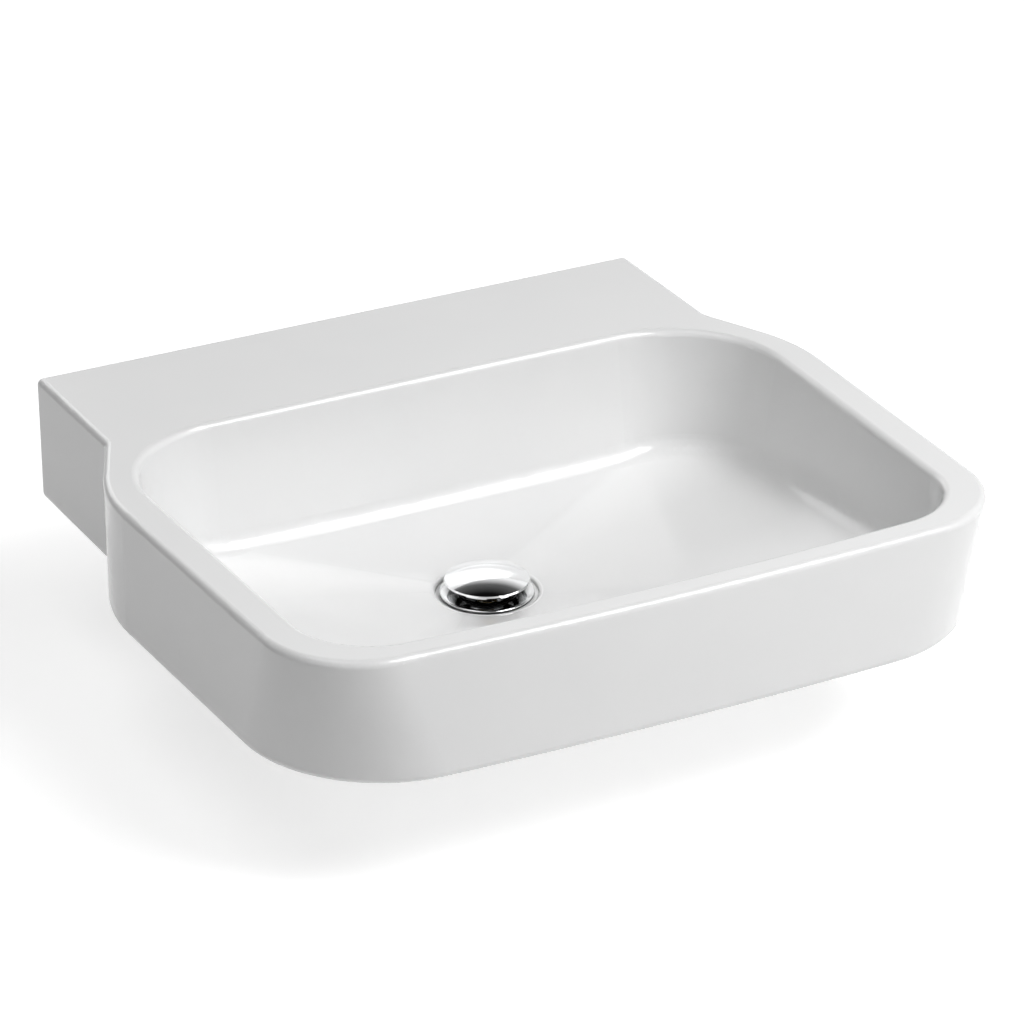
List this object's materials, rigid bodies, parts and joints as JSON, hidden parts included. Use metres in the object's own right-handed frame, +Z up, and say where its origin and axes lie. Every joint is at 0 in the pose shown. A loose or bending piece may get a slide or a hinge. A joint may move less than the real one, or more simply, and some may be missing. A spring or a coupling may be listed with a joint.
{
  "type": "countertop basin",
  "caption": "Wide rounded wash basin with a narrower flat back ledge, a deep bowl that falls to the drain, and a domed push-to-open plug.",
  "frame": {"origin": "where the wall, the countertop and the basin's plane of symmetry meet: on the plane of the back face, at the level of the skirt's foot", "axes": "+Z up, +Y towards the wall, +X to the right for a person who stands in front of the basin"},
  "size_m": [0.5984, 0.5599, 0.2083],
  "materials": {
    "glazed_ceramic": "gloss",
    "chrome": "mirror polish",
    "rubber": "matte",
    "seal_rubber": "satin",
    "fibre": "matte",
    "brass": "machined",
    "acetal": "satin",
    "steel": "turned",
    "spring_steel": "drawn wire"
  },
  "bodies": {
    "basin": {"basin_body": "glazed_ceramic", "waste_body": "chrome", "flange_gasket": "rubber", "under_washer": "rubber", "slip_washer": "fibre", "backnut": "brass", "cartridge_housing": "brass", "guide_bush": "acetal", "click_spring": "spring_steel"},
    "plug": {"plug_cap": "chrome", "plug_seal": "seal_rubber", "plug_locknut": "brass", "plunger": "steel", "click_rotor": "acetal"}
  },
  "joints": [
    {"name": "plug_push", "type": "slide", "parent": "basin", "child": "plug", "axis": [0, 0, 1], "range_m": [-0.006, 0], "stiffness_N_per_m": 600, "springref_m": 0.012, "deforming": ["click_spring"]}
  ]
}
